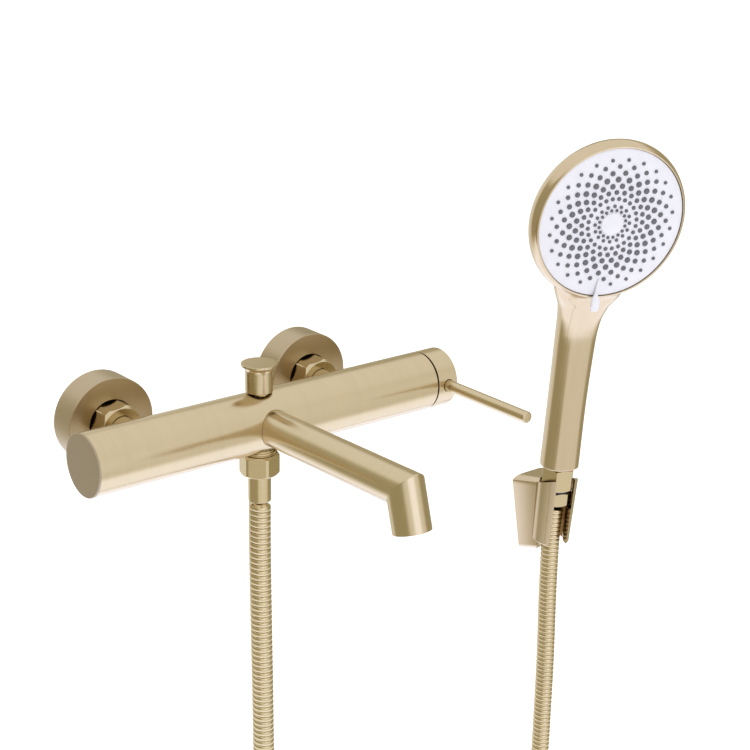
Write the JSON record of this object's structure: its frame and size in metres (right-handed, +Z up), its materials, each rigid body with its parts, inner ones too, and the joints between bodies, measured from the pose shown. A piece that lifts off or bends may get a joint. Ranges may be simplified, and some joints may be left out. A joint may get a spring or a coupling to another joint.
{
  "type": "wall mounted bath faucet",
  "caption": "Wall-mounted single-lever bath mixer with fixed spout, pull-up diverter, flexible hose and a round hand shower resting in a wall holder.",
  "frame": {"origin": "on the finished wall, midway between the two inlet centres and level with them", "axes": "+X along the mixer body towards its handle, -Y out of the wall into the room, +Z up"},
  "size_m": [0.4749, 0.2559, 0.8181],
  "materials": {
    "satin_gold": "satin brushed champagne gold plating",
    "polished_gold": "glossy champagne gold plating",
    "hose_gold": "glossy gold interlocked metal strip",
    "handset_gold": "satin champagne gold plating on plastic",
    "holder_gold": "satin champagne gold plating",
    "raw_brass": "machined",
    "black_rubber": "moulded",
    "black_ring": "matt black",
    "cartridge_plastic": "moulded",
    "ceramic_disc": "lapped ceramic, held here as hard gloss plastic",
    "stainless": "turned",
    "white_face": "semi-gloss moulded",
    "grey_rubber": "moulded",
    "grey_plastic": "moulded"
  },
  "bodies": {
    "mixer": {"mixer_body": "satin_gold", "end_cap": "satin_gold", "escutcheon_left": "satin_gold", "escutcheon_right": "satin_gold", "union_nut_left": "satin_gold", "union_nut_right": "satin_gold", "inlet_tail_left": "satin_gold", "inlet_tail_right": "satin_gold", "spout": "satin_gold", "aerator_shell": "satin_gold", "outlet_nipple": "polished_gold", "hose_nut": "polished_gold", "hose_ferrule": "polished_gold", "shower_hose": "hose_gold", "wall_holder": "holder_gold", "union_left": "raw_brass", "union_right": "raw_brass", "diverter_bonnet": "raw_brass", "end_cap_seal": "black_rubber", "inlet_washer_left": "black_rubber", "inlet_washer_right": "black_rubber", "cartridge_seal": "black_rubber", "spout_washer": "black_rubber", "aerator_washer": "black_rubber", "bonnet_seal": "black_rubber", "hose_washer": "black_rubber", "retaining_nut": "black_ring", "cartridge_housing": "cartridge_plastic", "check_valve": "cartridge_plastic", "fixed_disc": "ceramic_disc", "diverter_spring": "stainless", "aerator_insert": "grey_plastic"},
    "cartridge_turn": {"cartridge_rotor": "cartridge_plastic", "tilt_pin": "stainless"},
    "ceramic_slide": {"moving_disc": "ceramic_disc"},
    "handle": {"stem": "stainless", "handle_cap": "satin_gold", "pin_lever": "satin_gold", "set_screw": "stainless"},
    "diverter": {"diverter_knob": "satin_gold", "diverter_rod": "stainless", "diverter_valve": "black_rubber"},
    "hose_end": {"hose_end_ferrule": "polished_gold", "swivel_o_ring": "black_rubber"},
    "handset": {"swivel_nut": "polished_gold", "handset_washer": "black_rubber", "handset_shell": "handset_gold", "waterway_tube": "grey_plastic", "handset_connector": "raw_brass", "flow_disc": "grey_plastic", "centre_screw": "stainless"},
    "spray_face": {"spray_plate": "white_face", "centre_cap": "white_face", "selector_tab": "white_face", "nozzle_mat": "grey_rubber"}
  },
  "joints": [
    {"name": "temperature_turn", "type": "hinge", "parent": "mixer", "child": "cartridge_turn", "pos_m": [0.11, -0.0691, 0], "axis": [1, 0, 0], "range_deg": [-50, 50]},
    {"name": "flow_tilt", "type": "hinge", "parent": "cartridge_turn", "child": "handle", "pos_m": [0.1002, -0.0691, 0], "axis": [0, 0, 1], "range_deg": [0, 18]},
    {"name": "disc_slide", "type": "slide", "parent": "cartridge_turn", "child": "ceramic_slide", "axis": [0, 1, 0], "range_m": [-0.0019, 0]},
    {"name": "diverter_pull", "type": "slide", "parent": "mixer", "child": "diverter", "axis": [0, 0, 1], "range_m": [0, 0.0065], "stiffness_N_per_m": 250, "springref_m": -0.004, "deforming": ["diverter_spring"]},
    {"name": "handset_lift", "type": "slide", "parent": "mixer", "child": "hose_end", "axis": [0, -0.0777, 0.997], "range_m": [0, 0.045]},
    {"name": "handset_swivel", "type": "hinge", "parent": "hose_end", "child": "handset", "pos_m": [0.305, -0.031, -0.115], "axis": [0, -0.0777, 0.997], "range_deg": [-40, 40]},
    {"name": "spray_select", "type": "hinge", "parent": "handset", "child": "spray_face", "pos_m": [0.29285, -0.08039, 0.08537], "axis": [-0.3386, -0.93, -0.1431], "range_deg": [-30, 30]}
  ],
  "couplings": [
    {"joint": "disc_slide", "follows": "flow_tilt", "m_per_rad": -0.006}
  ]
}
